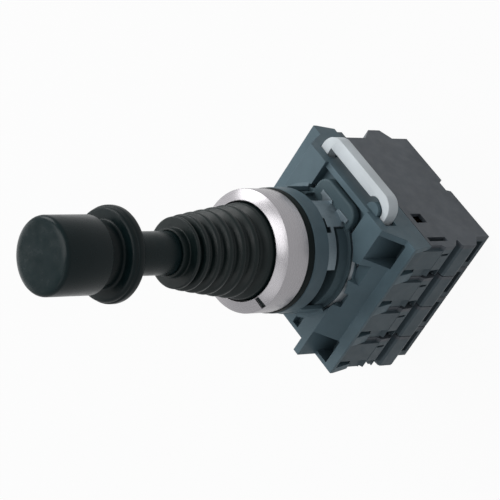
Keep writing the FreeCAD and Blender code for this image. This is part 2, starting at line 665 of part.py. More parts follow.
def make_block_housing(centre):
    """Moulded case, open on the +X side, with an insert that plugs into the holder."""
    x0 = centre - block_half
    x1 = centre + block_half - BLOCK_COVER
    case = prism_x(block_outline(), x0, x1)
    insert = box(centre - INSERT_HALF_X, centre + INSERT_HALF_X, -INSERT_HALF_Y, INSERT_HALF_Y,
                 block_front - 1, insert_front)
    wall_y = BLOCK_HALF_Y - BLOCK_WALL
    chamber_y = SCREW_Y - SCREW_HEAD_R - 0.2
    cavity = prism_x([(-wall_y, chamber_floor), (-chamber_y, chamber_floor), (-chamber_y, cavity_floor),
                      (chamber_y, cavity_floor), (chamber_y, chamber_floor), (wall_y, chamber_floor),
                      (wall_y, cavity_top), (-wall_y, cavity_top)], x0 + BLOCK_WALL + 0.4, x1 + 1)
    case = case.fuse([insert] + latch_tabs(centre)).cut(cavity)
    case = case.cut(cylinder(PLUNGER_R + FIT, cavity_top - 1, insert_front + 1, centre, 0))
    for side in (-1, 1):
        screw_y = side * SCREW_Y
        case = case.cut(cylinder(SCREW_ACCESS_R, BLOCK_REAR_Z - 1, chamber_floor + 1, centre, screw_y))
        ys = sorted((side * (wall_y - 0.5), side * (BLOCK_HALF_Y + 1)))
        case = case.cut(box(centre - WIRE_ENTRY_HALF_X, centre + WIRE_ENTRY_HALF_X, ys[0], ys[1],
                            chamber_floor, chamber_floor + WIRE_ENTRY_HEIGHT))
    for cutter in side_steps(x0):
        case = case.cut(cutter)
    return case.cut(side_slot(x1 + BLOCK_COVER)).removeSplitter()


def latch_tabs(centre):
    """Two tabs that reach up into the holder's flange, the one at +Y on a bracket."""
    x0 = centre + TAB_START
    x1 = centre + TAB_END
    outer = TAB_Y + TAB_THICKNESS
    root = BLOCK_REAR_Z + 19.7
    bracket = BLOCK_REAR_Z + 20.7
    return [box(x0, x1, -outer, -TAB_Y, root, TAB_TOP_Z),
            box(x0, x1, TAB_Y, outer, bracket, TAB_TOP_Z),
            box(x0, x1, BLOCK_HALF_Y - 0.5, outer, bracket, bracket + 2.6)]


def side_steps(x0):
    """Notch, slot and edge step in the terminal cover on the -Y side."""
    outer = -HUMP_Y - 2
    rear = BLOCK_REAR_Z
    return [box(x0 - 1, x0 + 2.5, outer, 1.9 - HUMP_Y, rear + 16.0, rear + 19.4),
            box(x0 + 7.2, x0 + 7.9, outer, 1.2 - HUMP_Y, rear + 16.5, rear + 19.2),
            box(x0 - 1, x0 + 0.5, outer, 0.7 - HUMP_Y, rear + 13.5, rear + 20.2)]


def side_slot(x1):
    """Narrow slot in the face towards +X, through the cover into the case."""
    return box(x1 - 2.5, x1 + 1, -19.6, -18.2, BLOCK_REAR_Z + 16.8, BLOCK_REAR_Z + 23.4)


def make_block_cover(centre):
    """Side plate that closes the case, with the window and the slot that its outer face shows."""
    x1 = centre + block_half
    cover = prism_x(block_outline(), x1 - BLOCK_COVER, x1)
    window = box(x1 - 2, x1 + 1, -13.0, -9.8, BLOCK_REAR_Z + 18.8, BLOCK_REAR_Z + 22.6)
    return cover.cut(window).cut(side_slot(x1))


def make_plunger(centre):
    """Round plunger with a fork that carries the bridge and a spigot in the spring."""
    shaft = cylinder(PLUNGER_R, bridge_z + BRIDGE_THICKNESS + 1.2, PLUNGER_TOP_Z, centre, 0)
    fork = box(centre - 1.9, centre + 1.9, -2.2, 2.2, bridge_z - 1.8, bridge_z + BRIDGE_THICKNESS + 1.3)
    spigot = cylinder(1.1, bridge_z - 3.6, bridge_z - 1.7, centre, 0)
    slot = box(centre - 1.5, centre + 1.5, -3, 3, bridge_z, bridge_z + BRIDGE_THICKNESS)
    return shaft.fuse([fork, spigot]).cut(slot).removeSplitter()


def make_bridge(centre):
    strip = box(centre - BRIDGE_HALF_X, centre + BRIDGE_HALF_X, -BRIDGE_HALF_Y, BRIDGE_HALF_Y,
                bridge_z, bridge_z + BRIDGE_THICKNESS)
    tip_z = bridge_z - CONTACT_HEIGHT
    tips = [cylinder(CONTACT_R, tip_z, bridge_z, centre, y) for y in (-CONTACT_Y, CONTACT_Y)]
    return strip.fuse(tips)


def make_fixed_contacts(centre):
    """Pair of bent strips from the terminals to the contact points under the bridge."""
    strips = []
    strip_top = strip_z + STRIP_THICKNESS
    for side in (-1, 1):
        points = [(STRIP_INNER_Y, strip_z), (STRIP_BEND_Y, strip_z), (STRIP_BEND_Y, terminal_z),
                  (STRIP_OUTER_Y, terminal_z), (STRIP_OUTER_Y, terminal_z + STRIP_THICKNESS),
                  (STRIP_BEND_Y + STRIP_THICKNESS, terminal_z + STRIP_THICKNESS),
                  (STRIP_BEND_Y + STRIP_THICKNESS, strip_top), (STRIP_INNER_Y, strip_top)]
        strip = prism_x([(side * y, z) for y, z in points], centre - STRIP_HALF_X, centre + STRIP_HALF_X)
        tip = cylinder(CONTACT_R, strip_top, strip_top + CONTACT_HEIGHT, centre, side * CONTACT_Y)
        hole = cylinder(SCREW_SHANK_R + FIT, terminal_z - 1, terminal_z + 2, centre, side * SCREW_Y)
        strips.append(strip.fuse(tip).cut(hole))
    return strips


def make_terminal_screws():
    screws = []
    head_z = chamber_floor + 0.1
    for centre in block_centres:
        for side in (-1, 1):
            y = side * SCREW_Y
            head = cylinder(SCREW_HEAD_R, head_z, head_z + 1.6, centre, y)
            head = head.cut(box(centre - 0.3, centre + 0.3, y - 3, y + 3, head_z - 1, head_z + 0.7))
            shank = cylinder(SCREW_SHANK_R, head_z + 1.6, terminal_z + 2.6, centre, y)
            screws.append(head.fuse(shank))
    return screws


def make_terminal_clamps():
    clamps = []
    clamp_z = chamber_floor + 1.8
    for centre in block_centres:
        for side in (-1, 1):
            y = side * SCREW_Y
            plate = box(centre - 2.6, centre + 2.6, y - 2.1, y + 2.1, clamp_z, clamp_z + 0.8)
            clamps.append(plate.cut(cylinder(SCREW_SHANK_R + FIT, clamp_z - 1, clamp_z + 2, centre, y)))
    return clamps


os.makedirs("parts", exist_ok=True)

write("knob", make_knob())
write("lift_ring", make_lift_ring())
ring_spring_r = (STEM_R + ring_sleeve_r) / 2
write("lift_ring_spring", coil(ring_spring_r, RING_SPRING_WIRE, ring_sleeve_top, knob_ceiling, 4))
write("stem_sleeve", tube(STEM_R, ROD_R + FIT, STEM_BOTTOM_Z, knob_ceiling))
write("stick_rod", make_rod())
write("bellows", make_bellows())
write("bezel", make_bezel())
write("panel_gasket", make_gasket())
write("front_body", make_front_body())
write("gimbal_ring", make_gimbal_ring())
write("gimbal_outer_pins", make_outer_pins())
write("gimbal_inner_pins", make_inner_pins())
write("pivot_hub", make_hub())
write("swash_plate", make_swash_plate())
write("return_spring", coil(RETURN_SPRING_R, RETURN_SPRING_WIRE, guide_top, swash_bottom, 4))
write("pusher_guide", make_guide())
for side_name, pusher_place, block_x in pusher_places():
    write("pusher_" + side_name, make_pusher(pusher_place, block_x))
write("clamp_ring", make_clamp_ring())
write("clamp_clip", make_clip())
write("transfer_guide", make_transfer_guide())
write("holder", make_holder())
write("lock_ring", make_lock_ring())
for number, block_centre in enumerate(block_centres, 1):
    name = "block_%d_" % number
    write(name + "housing", make_block_housing(block_centre))
    write(name + "cover", make_block_cover(block_centre))
    write(name + "plunger", make_plunger(block_centre))
    write(name + "bridge", make_bridge(block_centre))
    write(name + "contacts", make_fixed_contacts(block_centre))
    write(name + "spring", coil(2.0, CONTACT_SPRING_WIRE, cavity_floor, bridge_z - 1.8, 4, block_centre))
write("terminal_screws", make_terminal_screws())
write("terminal_clamps", make_terminal_clamps())
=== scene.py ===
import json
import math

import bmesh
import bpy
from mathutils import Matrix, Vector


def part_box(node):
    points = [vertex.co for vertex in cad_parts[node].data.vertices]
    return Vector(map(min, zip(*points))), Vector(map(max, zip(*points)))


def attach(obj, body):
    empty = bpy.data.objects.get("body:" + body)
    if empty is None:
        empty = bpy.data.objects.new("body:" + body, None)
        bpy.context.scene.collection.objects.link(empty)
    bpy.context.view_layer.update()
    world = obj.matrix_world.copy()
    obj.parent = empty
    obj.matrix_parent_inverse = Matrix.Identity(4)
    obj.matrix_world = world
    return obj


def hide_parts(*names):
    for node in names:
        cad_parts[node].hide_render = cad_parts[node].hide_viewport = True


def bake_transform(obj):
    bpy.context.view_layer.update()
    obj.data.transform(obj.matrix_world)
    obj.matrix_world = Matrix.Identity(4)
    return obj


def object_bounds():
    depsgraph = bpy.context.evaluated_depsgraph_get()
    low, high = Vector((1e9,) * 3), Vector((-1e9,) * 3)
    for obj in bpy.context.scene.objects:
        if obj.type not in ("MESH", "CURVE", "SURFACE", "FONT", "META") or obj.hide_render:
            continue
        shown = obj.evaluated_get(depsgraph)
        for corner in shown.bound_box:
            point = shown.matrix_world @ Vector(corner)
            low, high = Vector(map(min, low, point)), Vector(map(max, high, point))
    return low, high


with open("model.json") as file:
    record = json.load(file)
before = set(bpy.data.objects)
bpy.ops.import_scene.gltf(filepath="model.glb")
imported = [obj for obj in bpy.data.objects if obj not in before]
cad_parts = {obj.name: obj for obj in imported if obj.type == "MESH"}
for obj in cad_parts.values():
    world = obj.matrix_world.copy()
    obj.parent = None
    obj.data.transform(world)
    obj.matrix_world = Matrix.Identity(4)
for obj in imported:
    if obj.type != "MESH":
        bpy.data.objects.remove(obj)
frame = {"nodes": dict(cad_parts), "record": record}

# %% [markdown]
# ## A panel joystick, dressed over its solid model
#
# The imported model has just been loaded. It is the frame of this scene: each solid is an object
# whose place is in its own mesh, in metres, with +Z along the stick towards the knob. This file
# keeps the solids whose shape is already right, gives them finishes, and models again the pieces
# that need smoother curves than the solids have, such as the knob, the bellows and the bezel.
#
# The model's box is kept first and printed.

MM = 0.001
solid_low, solid_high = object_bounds()
print("solid model, mm:", [round((b - a) / MM, 1) for a, b in zip(solid_low, solid_high)])

# %% [markdown]
# ## The camera
#
# The photograph was taken from in front and from the side, with a long lens, and the stick points
# to the left of the picture. Two angles place the camera and a third rolls it. The picture's
# right, up and towards-the-viewer directions are worked out from them, because those three
# directions are also what the lamps are placed by.

# %% Camera at the photograph's viewing angle
TILT = math.radians(45.12)
SPIN = math.radians(45.94)
ROLL = math.radians(1.41)
DISTANCE = 574.57 * MM
AIM_RIGHT = -3.395 * MM
AIM_UP = 0.126 * MM
AIM_HEIGHT = 2.0 * MM
FOCAL_IN_PIXELS = 2382.9
PICTURE_SIDE = 500
SENSOR = 36.0

level_right = Vector((math.cos(TILT) * math.cos(SPIN), -math.cos(TILT) * math.sin(SPIN), -math.sin(TILT)))
level_up = Vector((math.sin(SPIN), math.cos(SPIN), 0))
towards_viewer = Vector((math.sin(TILT) * math.cos(SPIN), -math.sin(TILT) * math.sin(SPIN), math.cos(TILT)))
picture_right = level_right * math.cos(ROLL) - level_up * math.sin(ROLL)
picture_up = level_right * math.sin(ROLL) + level_up * math.cos(ROLL)


def from_viewer(right, up, towards):
    """A place given in the picture's own directions, from the panel's plane on the stick's axis."""
    return picture_right * right + picture_up * up + towards_viewer * towards


camera_data = bpy.data.cameras.new("photo_camera")
camera_data.sensor_width = SENSOR
camera_data.lens = FOCAL_IN_PIXELS / PICTURE_SIDE * SENSOR
camera_data.clip_start = 0.01
camera_data.clip_end = 20
camera = bpy.data.objects.new("photo_camera", camera_data)
bpy.context.scene.collection.objects.link(camera)
turn = Matrix((picture_right, picture_up, towards_viewer)).transposed().to_4x4()
place = from_viewer(AIM_RIGHT, AIM_UP, DISTANCE) + Vector((0, 0, AIM_HEIGHT))
camera.matrix_world = Matrix.Translation(place) @ turn
bpy.context.scene.camera = camera
print("camera at, mm:", [round(v / MM, 1) for v in place], "lens", round(camera_data.lens, 1))

# %% [markdown]
# ## Light, floor and background
#
# The photograph has a plain white ground and soft light. Faces that look up in the picture are the
# brightest and those that face the stick's end come next, so the strongest softbox is above, the
# next at the upper left, and weaker cards fill in from the left. The lamps are large, because a
# small one would put hard spots on the plated bezel. The floor is pale and
# the part stands on it. Seen by the camera, the floor and the surroundings are made nearly
# white, so the lamps need not be strong enough to make them so.

# %% Lamps
def lamp(name, right, up, towards, size, power, aim=(0, 0, 0.01)):
    """A square area lamp placed by the picture's directions and turned towards the part."""
    data = bpy.data.lights.new(name, "AREA")
    data.shape = "SQUARE"
    data.size = size
    data.energy = power
    obj = bpy.data.objects.new(name, data)
    bpy.context.scene.collection.objects.link(obj)
    where = from_viewer(right, up, towards)
    facing = (where - Vector(aim)).to_track_quat("Z", "Y")
    obj.matrix_world = Matrix.Translation(where) @ facing.to_matrix().to_4x4()
    return obj


# Name, place to the right, up and towards the viewer in metres, side in metres, power in watts
LAMPS = [
    ("top_softbox", 0.25, 0.9, -0.15, 0.5, 5.0),
    ("upper_left_softbox", -0.67, 0.67, 0.0, 0.5, 3.5),
    ("back_left_card", -0.85, 0.0, -0.45, 0.5, 1.8),
    ("front_left_card", -0.6, 0.2, 0.6, 0.5, 2.2),
    ("low_left_card", -0.6, -0.4, 0.5, 0.5, 0.6),
    ("bezel_card", -0.9, 0.12, 0.32, 0.4, 1.3),
]
for row in LAMPS:
    lamp(*row)
print("lamps:", len(LAMPS))

# %% Which rays see the white background
REFLECTED_SHARE = 0.55


def sees_background(tree):
    """1 for a ray from the camera or through glass, less for one off a glossy surface, 0 for others."""
    path = tree.nodes.new("ShaderNodeLightPath")
    dimmed = tree.nodes.new("ShaderNodeMath")
    dimmed.operation = "MULTIPLY"
    dimmed.inputs[1].default_value = REFLECTED_SHARE
    tree.links.new(path.outputs["Is Glossy Ray"], dimmed.inputs[0])
    brightest = dimmed.outputs[0]
    for kind in ("Is Camera Ray", "Is Transmission Ray"):
        larger = tree.nodes.new("ShaderNodeMath")
        larger.operation = "MAXIMUM"
        tree.links.new(brightest, larger.inputs[0])
        tree.links.new(path.outputs[kind], larger.inputs[1])
        brightest = larger.outputs[0]
    return brightest


# %% Surroundings
SOFT_LIGHT = 0.31
world = bpy.data.worlds.new("studio")
bpy.context.scene.world = world
world.use_nodes = True
world_tree = world.node_tree
world_tree.nodes.clear()
world_out = world_tree.nodes.new("ShaderNodeOutputWorld")
seen = world_tree.nodes.new("ShaderNodeBackground")
seen.inputs["Color"].default_value = (1, 1, 1, 1)
seen.inputs["Strength"].default_value = 1.0
around = world_tree.nodes.new("ShaderNodeBackground")
around.inputs["Color"].default_value = (0.92, 0.95, 1.0, 1)
around.inputs["Strength"].default_value = SOFT_LIGHT
choose = world_tree.nodes.new("ShaderNodeMixShader")
world_tree.links.new(sees_background(world_tree), choose.inputs["Fac"])
world_tree.links.new(around.outputs[0], choose.inputs[1])
world_tree.links.new(seen.outputs[0], choose.inputs[2])
world_tree.links.new(choose.outputs[0], world_out.inputs["Surface"])

# %% Floor
FLOOR_HALF_SIDE = 3.0
FLOOR_GLOW_SHARE = 0.95
floor_mesh = bpy.data.meshes.new("studio_floor")
bm = bmesh.new()
bmesh.ops.create_grid(bm, x_segments=1, y_segments=1, size=FLOOR_HALF_SIDE)
bmesh.ops.translate(bm, verts=bm.verts, vec=(0, 0, solid_low.z))
bm.to_mesh(floor_mesh)
bm.free()
floor = bpy.data.objects.new("studio_floor", floor_mesh)
bpy.context.scene.collection.objects.link(floor)

floor_finish = bpy.data.materials.new("pale_floor")
floor_finish.use_nodes = True
tree = floor_finish.node_tree
tree.nodes.clear()
out = tree.nodes.new("ShaderNodeOutputMaterial")
matt = tree.nodes.new("ShaderNodeBsdfDiffuse")
matt.inputs["Color"].default_value = (0.5, 0.5, 0.5, 1)
glow = tree.nodes.new("ShaderNodeEmission")
glow.inputs["Color"].default_value = (1, 1, 1, 1)
glow.inputs["Strength"].default_value = 1.0
share = tree.nodes.new("ShaderNodeMath")
share.operation = "MULTIPLY"
share.inputs[1].default_value = FLOOR_GLOW_SHARE
blend = tree.nodes.new("ShaderNodeMixShader")
tree.links.new(sees_background(tree), share.inputs[0])
tree.links.new(share.outputs[0], blend.inputs["Fac"])
tree.links.new(matt.outputs[0], blend.inputs[1])
tree.links.new(glow.outputs[0], blend.inputs[2])
tree.links.new(blend.outputs[0], out.inputs["Surface"])
floor_mesh.materials.append(floor_finish)

bpy.context.scene.view_settings.view_transform = "Standard"

# %% [markdown]
# ## Finishes
#
# Moulded plastic is never one flat colour. The tool it comes from leaves a fine grain, the resin
# mixes a little unevenly, and corners catch the light because they are rounded. So the plastic
# finish has five parts: a cloudy change of colour a few millimetres wide, a painted highlight that
# lightens the rounded corners in broken patches, a finer change of roughness, a bump of about a
# third of a millimetre for the grain, and a normal that is rounded near the corners. All of them
# read the object's own coordinates, so they stay with the piece.

# %% Helpers for finishes
def linear(red, green, blue):
    """A colour given as it looks on a screen, 0 to 255, as the values that a shader needs."""
    parts = [c / 255 for c in (red, green, blue)]
    return tuple(c / 12.92 if c <= 0.04045 else ((c + 0.055) / 1.055) ** 2.4 for c in parts) + (1.0,)


def shade(colour, factor):
    """The same colour, lighter or darker."""
    return tuple(min(1.0, c * factor) for c in colour[:3]) + (1.0,)


class Finish:
    """A material under construction, with short ways to add and join its nodes."""

    def __init__(self, name):
        self.material = bpy.data.materials.new(name)
        self.material.use_nodes = True
        self.tree = self.material.node_tree
        self.tree.nodes.clear()
        self.out = self.add("ShaderNodeOutputMaterial")
        self.surface = self.add("ShaderNodeBsdfPrincipled")
        self.place = self.add("ShaderNodeTexCoord")
        self.join(self.surface.outputs[0], self.out.inputs["Surface"])

    def add(self, kind, **settings):
        node = self.tree.nodes.new(kind)
        for key, value in settings.items():
            setattr(node, key, value)
        return node

    def join(self, start, end):
        self.tree.links.new(start, end)

    def noise(self, grain, detail=2.0, stretch=None):
        """Noise whose lumps are about the given number of millimetres across."""
        node = self.add("ShaderNodeTexNoise")
        node.inputs["Scale"].default_value = 1 / (grain * MM)
        node.inputs["Detail"].default_value = detail
        source = self.place.outputs["Object"]
        if stretch:
            mapping = self.add("ShaderNodeMapping")
            mapping.inputs["Scale"].default_value = stretch
            self.join(source, mapping.inputs["Vector"])
            source = mapping.outputs[0]
        self.join(source, node.inputs["Vector"])
        return node.outputs["Fac"]

    def between(self, value, low, high, start=0.3, stop=0.7):
        """Turns a 0 to 1 pattern into a value between two others."""
        node = self.add("ShaderNodeMapRange")
        node.inputs["From Min"].default_value = start
        node.inputs["From Max"].default_value = stop
        node.inputs["To Min"].default_value = low
        node.inputs["To Max"].default_value = high
        self.join(value, node.inputs["Value"])
        return node.outputs[0]

    def mix(self, factor, first, second):
        """A colour between two, each a colour or another node's output."""
        node = self.add("ShaderNodeMix", data_type="RGBA")
        self.join(factor, node.inputs["Factor"])
        for socket, value in ((node.inputs[6], first), (node.inputs[7], second)):
            if isinstance(value, tuple):
                socket.default_value = value
            else:
                self.join(value, socket)
        return node.outputs[2]

    def rounded_normal(self, radius):
        """The surface's normal with its corners rounded by a radius in millimetres."""
        node = self.add("ShaderNodeBevel", samples=4)
        node.inputs["Radius"].default_value = radius * MM
        return node.outputs[0]

    def corner_mask(self, rounded):
        """1 on the rounded corners and 0 on flat places."""
        plain = self.add("ShaderNodeNewGeometry")
        dot = self.add("ShaderNodeVectorMath", operation="DOT_PRODUCT")
        self.join(plain.outputs["Normal"], dot.inputs[0])
        self.join(rounded, dot.inputs[1])
        return self.between(dot.outputs["Value"], 1.0, 0.0, 0.82, 0.985)

    def bump(self, height, strength, depth, normal=None):
        node = self.add("ShaderNodeBump")
        node.inputs["Strength"].default_value = strength
        node.inputs["Distance"].default_value = depth * MM
        self.join(height, node.inputs["Height"])
        if normal:
            self.join(normal, node.inputs["Normal"])
        self.join(node.outputs[0], self.surface.inputs["Normal"])


# %% Moulded plastic and rubber
def moulded(name, colour, roughness, grain=0.35, grain_strength=0.25, corner=0.22, corner_highlight_factor=1.18, cloud=7.0,
            gloss=0.5):
    finish = Finish(name)
    rounded = finish.rounded_normal(corner)
    clouds = finish.between(finish.noise(cloud, 3.0), 0.0, 1.0)
    body = finish.mix(clouds, shade(colour, 0.9), shade(colour, 1.1))
    corners = finish.corner_mask(rounded)
    # Painted highlight: the rounded corners, in broken patches, get a colour lighter by the given factor.
    highlight_patches = finish.between(finish.noise(1.5, 4.0), 0.0, 1.0, 0.35, 0.65)
    corner_highlight_mask = finish.add("ShaderNodeMath", operation="MULTIPLY")
    finish.join(corners, corner_highlight_mask.inputs[0])
    finish.join(highlight_patches, corner_highlight_mask.inputs[1])
    coat = finish.mix(corner_highlight_mask.outputs[0], body, shade(colour, corner_highlight_factor))
    finish.join(coat, finish.surface.inputs["Base Color"])
    rough = finish.between(finish.noise(2.2, 4.0), roughness - 0.07, roughness + 0.07)
    finish.join(rough, finish.surface.inputs["Roughness"])
    finish.surface.inputs["Specular IOR Level"].default_value = gloss
    finish.bump(finish.noise(grain, 3.0), grain_strength, 0.03, rounded)
    return finish.material


HOLDER_GREY = linear(85, 104, 112)
CLAMP_GREY = linear(75, 92, 98)
BLOCK_GREY = linear(79, 92, 98)
COVER_GREY = linear(80, 86, 92)
BLACK = linear(12, 30, 32)
RUBBER_BLACK = linear(11, 26, 26)
OFF_WHITE = linear(212, 219, 222)

holder_plastic = moulded("holder_plastic", HOLDER_GREY, 0.45, gloss=0.22)
clamp_plastic = moulded("clamp_plastic", CLAMP_GREY, 0.46, corner=0.3, gloss=0.18)
block_plastic = moulded("block_plastic", BLOCK_GREY, 0.5, corner=0.16, gloss=0.32)
cover_plastic = moulded("cover_plastic", COVER_GREY, 0.5, corner=0.16, gloss=0.42)
black_plastic = moulded("black_plastic", BLACK, 0.3, grain=0.25, grain_strength=0.1, corner_highlight_factor=1.25, gloss=0.16)
knob_plastic = moulded("knob_plastic", BLACK, 0.24, grain=0.3, grain_strength=0.06, corner=0.3, corner_highlight_factor=1.25,
                       gloss=0.16)
ring_plastic = moulded("ring_plastic", shade(BLACK, 0.65), 0.34, grain=0.3, grain_strength=0.2, corner=0.3, corner_highlight_factor=1.25,
                       gloss=0.16)
white_plastic = moulded("white_plastic", OFF_WHITE, 0.42, corner=0.3, corner_highlight_factor=1.03, cloud=9.0, gloss=0.25)
bellows_rubber = moulded("bellows_rubber", RUBBER_BLACK, 0.36, grain=0.5, grain_strength=0.12, corner_highlight_factor=1.25, gloss=0.26)
# The gasket's rubber is darkened to 0.6 of the bellows rubber: painted shade from the bezel above it.
gasket_rubber = moulded("gasket_rubber", shade(RUBBER_BLACK, 0.6), 0.55, grain=0.5, corner_highlight_factor=1.2, gloss=0.12)

# %% [markdown]
# Metals differ by how they were made. Drawn pieces such as the rod have fine marks along them, the
# stamped clip is dull, and the contacts and screws are a little rougher and yellower. The marks
# are noise that can be stretched in one direction, which changes the roughness and gives a very
# shallow bump.

# %% Metals
def metal(name, colour, roughness, grain=0.8, stretch=(1, 1, 1), mark=0.1, corner=0.12):
    finish = Finish(name)
    rounded = finish.rounded_normal(corner)
    clouds = finish.between(finish.noise(4.0, 3.0), 0.0, 1.0)
    finish.join(finish.mix(clouds, shade(colour, 0.93), shade(colour, 1.05)), finish.surface.inputs["Base Color"])
    finish.surface.inputs["Metallic"].default_value = 1.0
    marks = finish.noise(grain, 4.0, stretch)
    finish.join(finish.between(marks, roughness * 0.75, roughness * 1.3), finish.surface.inputs["Roughness"])
    finish.bump(marks, mark, 0.01, rounded)
    return finish.material


clip_metal = metal("clip_metal", linear(136, 149, 156), 0.5, grain=0.6, stretch=(5, 1, 1))
bright_steel = metal("bright_steel", linear(180, 182, 185), 0.25, stretch=(1, 1, 8))
spring_steel = metal("spring_steel", linear(150, 152, 156), 0.3)
# The screw and contact colours are darker than bare metal: painted shade for the dark block recesses that they sit
# in.
screw_steel = metal("screw_steel", linear(128, 124, 112), 0.4)
contact_brass = metal("contact_brass", linear(132, 112, 78), 0.42)

# %% [markdown]
# The bezel was turned on a lathe before it was plated, so its marks run round it. A pattern that
# depends only on how far a point is from the axis and how high it lies gives such marks on the
# front face and on the side alike. They are kept so faint that the face still looks smooth. The
# plating is satin: part of the light is scattered, so the bellows shows only dimly in the front.

# %% Plated bezel
def turned_metal(name, colour, roughness, metallic):
    finish = Finish(name)
    rounded = finish.rounded_normal(0.12)
    clouds = finish.between(finish.noise(14.0, 2.0), 0.0, 1.0)
    finish.join(finish.mix(clouds, shade(colour, 0.96), shade(colour, 1.03)), finish.surface.inputs["Base Color"])
    finish.surface.inputs["Metallic"].default_value = metallic
    flat = finish.add("ShaderNodeVectorMath", operation="MULTIPLY")
    flat.inputs[1].default_value = (1, 1, 0)
    finish.join(finish.place.outputs["Object"], flat.inputs[0])
    from_axis = finish.add("ShaderNodeVectorMath", operation="LENGTH")
    finish.join(flat.outputs[0], from_axis.inputs[0])
    height = finish.add("ShaderNodeSeparateXYZ")
    finish.join(finish.place.outputs["Object"], height.inputs[0])
    along = finish.add("ShaderNodeMath", operation="ADD")
    finish.join(from_axis.outputs["Value"], along.inputs[0])
    finish.join(height.outputs["Z"], along.inputs[1])
    marks = finish.add("ShaderNodeTexNoise", noise_dimensions="1D")
    marks.inputs["Scale"].default_value = 1 / (0.16 * MM)
    finish.join(along.outputs[0], marks.inputs["W"])
    finish.join(finish.between(marks.outputs["Fac"], roughness * 0.96, roughness * 1.05),
                finish.surface.inputs["Roughness"])
    finish.bump(marks.outputs["Fac"], 0.015, 0.005, rounded)
    return finish.material


bezel_metal = turned_metal("bezel_metal", linear(180, 177, 180), 0.27, 0.6)

# %% [markdown]
# ## Finishes on the solids that stay
#
# The holder, the contact blocks and what is inside are flat-faced mouldings and plain turned
# pieces, and their solids already have the right shape. Each gets the finish of its own slot.

# %% Give each kept solid its finish
finish_of_slot = {
    "holder_plastic": holder_plastic,
    "block_plastic": block_plastic,
    "black_plastic": black_plastic,
    "knob_plastic": knob_plastic,
    "rubber": bellows_rubber,
    "bezel_metal": bezel_metal,
    "white_plastic": white_plastic,
    "clamp_plastic": clamp_plastic,
    "clip_metal": clip_metal,
    "bright_steel": bright_steel,
    "spring_steel": spring_steel,
    "screw_steel": screw_steel,
    "contact_brass": contact_brass,
}


def dress(solid, material):
    solid.data.materials.clear()
    solid.data.materials.append(material)


for part in frame["record"]["subparts"]:
    dress(frame["nodes"][part["node"]], finish_of_slot[part["material_slot"]])
for number in range(1, 5):
    dress(frame["nodes"]["block_%d_cover" % number], cover_plastic)
print("dressed solids:", len(frame["nodes"]))

# %% [markdown]
# ## Turned pieces
#
# The knob, the lift ring, the stem, the bellows, the bezel and the gasket are all round about the
# stick's axis. Each could be a stack of cylinders, but one outline that is spun about the axis is
# closer to how a lathe or a round mould makes them, and its rounded corners run round the piece
# without a seam. An outline is a chain of vertices at a radius and a height. Each vertex may be
# bevelled, which turns its corner into an arc, and the chain is then spun and its normals are set
# to point outwards.

# %% Helpers for new pieces
def add_piece(name, bm, body, material, replaced=(), sharp=35):
    """Turn a finished bmesh into a piece that rides on a body, if one is named, and stands for some solids."""
    mesh = bpy.data.meshes.new(name)
    bm.to_mesh(mesh)
    bm.free()
    mesh.shade_smooth()
    mesh.set_sharp_from_angle(angle=math.radians(sharp))
    mesh.materials.append(material)
    piece = bpy.data.objects.new(name, mesh)
    bpy.context.scene.collection.objects.link(piece)
    if body:
        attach(piece, body)
    if replaced:
        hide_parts(*replaced)
    print(name, "faces:", len(mesh.polygons))
    return piece


def round_off(bm, verts, radius, segments=4):
    bmesh.ops.bevel(bm, geom=verts, offset=radius * MM, offset_type="OFFSET", segments=segments, profile=0.5,
                    affect="VERTICES", clamp_overlap=False, material=-1)


def spun(outline, steps=120, closed=True):
    """Spin an outline about Z. Its points are radius, height and corner radius in millimetres."""
    bm = bmesh.new()
    verts = [bm.verts.new((radius * MM, 0, height * MM)) for radius, height, _ in outline]
    pairs = list(zip(verts, verts[1:]))
    if closed:
        pairs.append((verts[-1], verts[0]))
    for pair in pairs:
        bm.edges.new(pair)
    for vert, (_, _, corner) in zip(verts, outline):
        if corner:
            round_off(bm, [vert], corner)
    bmesh.ops.spin(bm, geom=bm.verts[:] + bm.edges[:], cent=(0, 0, 0), axis=(0, 0, 1), angle=2 * math.pi,
                   steps=steps, use_merge=True)
    bmesh.ops.remove_doubles(bm, verts=bm.verts[:], dist=0.001 * MM)
    bmesh.ops.recalc_face_normals(bm, faces=bm.faces[:])
    return bm


def reach(node):
    """Outer radius, lowest and highest z of a round solid, in millimetres."""
    low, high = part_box(node)
    return (high[0] - low[0]) / 2 / MM, low[2] / MM, high[2] / MM


# %% [markdown]
# ### Knob
#
# The knob is a black moulded cap, hollow from behind. Its front is very slightly crowned and its
# front edge is rounded by about a millimetre, which is what draws the soft light line between the
# face and the side. A cylinder with a bevel would give the edge but not the crown, so the outline
# carries both.

# %% Knob
knob_r, knob_rear, knob_front = reach("knob")
KNOB_SIDE = 13.9
KNOB_WALL = 1.1
KNOB_CAP = 5.5
KNOB_CROWN = 0.25
knob_inner_r = knob_r - KNOB_WALL
knob_ceiling = knob_front - KNOB_CAP
knob_rear = knob_front - KNOB_SIDE
knob_outline = [(0, knob_front, 0), (knob_r * 0.6, knob_front - KNOB_CROWN * 0.36, 1.5),
                (knob_r, knob_front - KNOB_CROWN, 1.1), (knob_r, knob_rear, 0.3), (knob_inner_r, knob_rear, 0.2),
                (knob_inner_r, knob_ceiling, 0.5), (0, knob_ceiling, 0)]
add_piece("knob_cap", spun(knob_outline, closed=False), "stick", knob_plastic, ["knob"])

# %% [markdown]
# ### Lift ring
#
# The ring is pulled towards the knob before the stick can move. It is a flange with two low tiers
# for the fingers, and a sleeve that slides on the stem and into the hollow knob. The sleeve's front
# is a cup round the spring. Most of it is hidden but belongs to the same moulding, so one closed
# outline makes it all.

